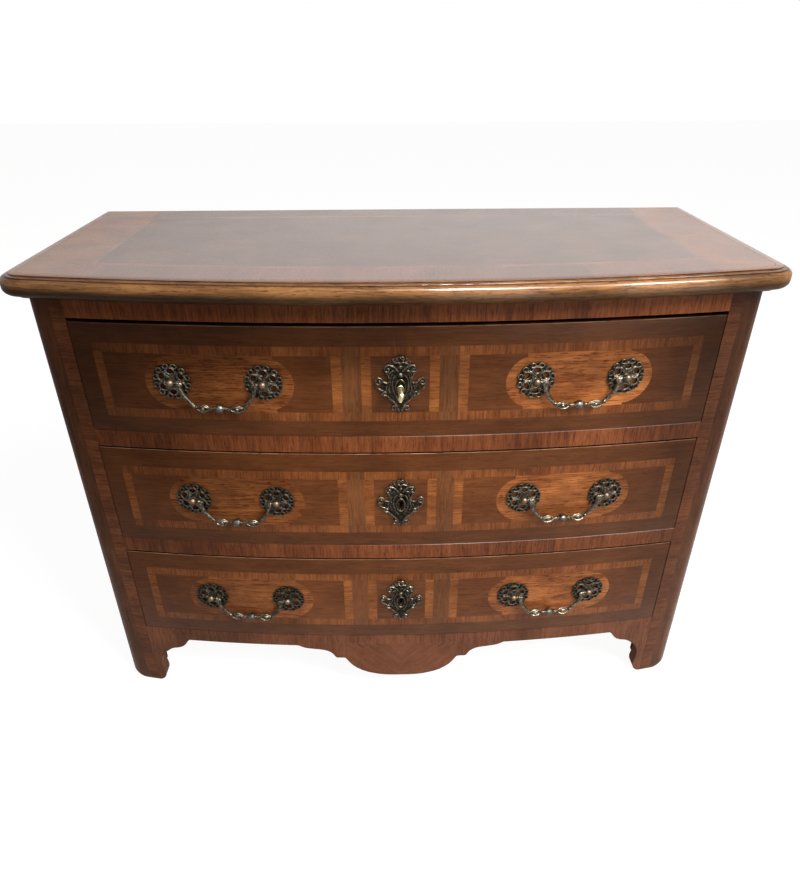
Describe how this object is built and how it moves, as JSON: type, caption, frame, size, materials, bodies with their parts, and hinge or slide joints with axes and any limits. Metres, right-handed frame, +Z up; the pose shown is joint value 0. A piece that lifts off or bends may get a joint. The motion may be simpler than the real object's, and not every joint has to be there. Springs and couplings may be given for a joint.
{
  "type": "commode chest",
  "caption": "Bow-fronted veneered commode chest with sliding drawers, hinged bail handles, pierced escutcheons, a shaped apron and bracket feet.",
  "frame": {"origin": "on the floor, under the centre of the whole chest, its key counted in", "axes": "+X to the right of the front, +Y to the back, +Z up; the drawers open towards -Y"},
  "size_m": [1.178, 0.52, 0.85],
  "materials": {
    "top_veneer": "polished",
    "bead_veneer": "polished",
    "crossband_veneer": "polished",
    "drawer_veneer": "polished",
    "case_veneer": "polished",
    "plain_wood": "raw",
    "bronze": "dark antique patina",
    "key_brass": "worn bright",
    "lock_iron": "plain"
  },
  "bodies": {
    "carcass": {"top_board": "top_veneer", "edge_moulding": "bead_veneer", "front_post_left": "case_veneer", "front_post_right": "case_veneer", "back_post_left": "case_veneer", "back_post_right": "case_veneer", "side_panel_left": "case_veneer", "side_panel_right": "case_veneer", "side_apron_left": "case_veneer", "side_apron_right": "case_veneer", "back_panel": "plain_wood", "back_rail": "plain_wood", "frieze_rail": "crossband_veneer", "rail_upper": "crossband_veneer", "rail_lower": "crossband_veneer", "apron_front": "crossband_veneer", "dust_board_1": "plain_wood", "dust_board_2": "plain_wood", "dust_board_3": "plain_wood"},
    "drawer_1": {"drawer_1_front": "drawer_veneer", "drawer_1_side_left": "plain_wood", "drawer_1_side_right": "plain_wood", "drawer_1_back": "plain_wood", "drawer_1_bottom": "plain_wood", "drawer_1_rosette_left_outer": "bronze", "drawer_1_rosette_left_inner": "bronze", "drawer_1_rosette_right_outer": "bronze", "drawer_1_rosette_right_inner": "bronze", "drawer_1_escutcheon": "bronze", "drawer_1_lock": "lock_iron"},
    "drawer_1_bail_left": {"drawer_1_bail_left": "bronze"},
    "drawer_1_bail_right": {"drawer_1_bail_right": "bronze"},
    "drawer_2": {"drawer_2_front": "drawer_veneer", "drawer_2_side_left": "plain_wood", "drawer_2_side_right": "plain_wood", "drawer_2_back": "plain_wood", "drawer_2_bottom": "plain_wood", "drawer_2_rosette_left_outer": "bronze", "drawer_2_rosette_left_inner": "bronze", "drawer_2_rosette_right_outer": "bronze", "drawer_2_rosette_right_inner": "bronze", "drawer_2_escutcheon": "bronze", "drawer_2_lock": "lock_iron"},
    "drawer_2_bail_left": {"drawer_2_bail_left": "bronze"},
    "drawer_2_bail_right": {"drawer_2_bail_right": "bronze"},
    "drawer_3": {"drawer_3_front": "drawer_veneer", "drawer_3_side_left": "plain_wood", "drawer_3_side_right": "plain_wood", "drawer_3_back": "plain_wood", "drawer_3_bottom": "plain_wood", "drawer_3_rosette_left_outer": "bronze", "drawer_3_rosette_left_inner": "bronze", "drawer_3_rosette_right_outer": "bronze", "drawer_3_rosette_right_inner": "bronze", "drawer_3_escutcheon": "bronze", "drawer_3_lock": "lock_iron"},
    "drawer_3_bail_left": {"drawer_3_bail_left": "bronze"},
    "drawer_3_bail_right": {"drawer_3_bail_right": "bronze"},
    "key": {"key": "key_brass"},
    "lock_bolt": {"lock_bolt": "lock_iron"}
  },
  "joints": [
    {"name": "drawer_1_slide", "type": "slide", "parent": "carcass", "child": "drawer_1", "axis": [0, -1, 0], "range_m": [0, 0.28]},
    {"name": "drawer_1_bail_left_swing", "type": "hinge", "parent": "drawer_1", "child": "drawer_1_bail_left", "pos_m": [-0.28122, -0.20895, 0.6875], "axis": [-0.9968, 0.0804, 0], "range_deg": [0, 100]},
    {"name": "drawer_1_bail_right_swing", "type": "hinge", "parent": "drawer_1", "child": "drawer_1_bail_right", "pos_m": [0.28122, -0.20895, 0.6875], "axis": [-0.9968, -0.0804, 0], "range_deg": [0, 100]},
    {"name": "drawer_2_slide", "type": "slide", "parent": "carcass", "child": "drawer_2", "axis": [0, -1, 0], "range_m": [0, 0.28]},
    {"name": "drawer_2_bail_left_swing", "type": "hinge", "parent": "drawer_2", "child": "drawer_2_bail_left", "pos_m": [-0.28122, -0.20895, 0.4665], "axis": [-0.9968, 0.0804, 0], "range_deg": [0, 100]},
    {"name": "drawer_2_bail_right_swing", "type": "hinge", "parent": "drawer_2", "child": "drawer_2_bail_right", "pos_m": [0.28122, -0.20895, 0.4665], "axis": [-0.9968, -0.0804, 0], "range_deg": [0, 100]},
    {"name": "drawer_3_slide", "type": "slide", "parent": "carcass", "child": "drawer_3", "axis": [0, -1, 0], "range_m": [0, 0.28]},
    {"name": "drawer_3_bail_left_swing", "type": "hinge", "parent": "drawer_3", "child": "drawer_3_bail_left", "pos_m": [-0.28122, -0.20895, 0.2455], "axis": [-0.9968, 0.0804, 0], "range_deg": [0, 100]},
    {"name": "drawer_3_bail_right_swing", "type": "hinge", "parent": "drawer_3", "child": "drawer_3_bail_right", "pos_m": [0.28122, -0.20895, 0.2455], "axis": [-0.9968, -0.0804, 0], "range_deg": [0, 100]},
    {"name": "key_turn", "type": "hinge", "parent": "drawer_1", "child": "key", "pos_m": [0, -0.212, 0.684], "axis": [0, 1, 0], "range_deg": [0, 180]},
    {"name": "lock_bolt_slide", "type": "slide", "parent": "drawer_1", "child": "lock_bolt", "axis": [0, 0, 1], "range_m": [0, 0.014]}
  ],
  "couplings": [
    {"joint": "key_turn", "follows": "lock_bolt_slide", "rad_per_m": 224.39}
  ]
}
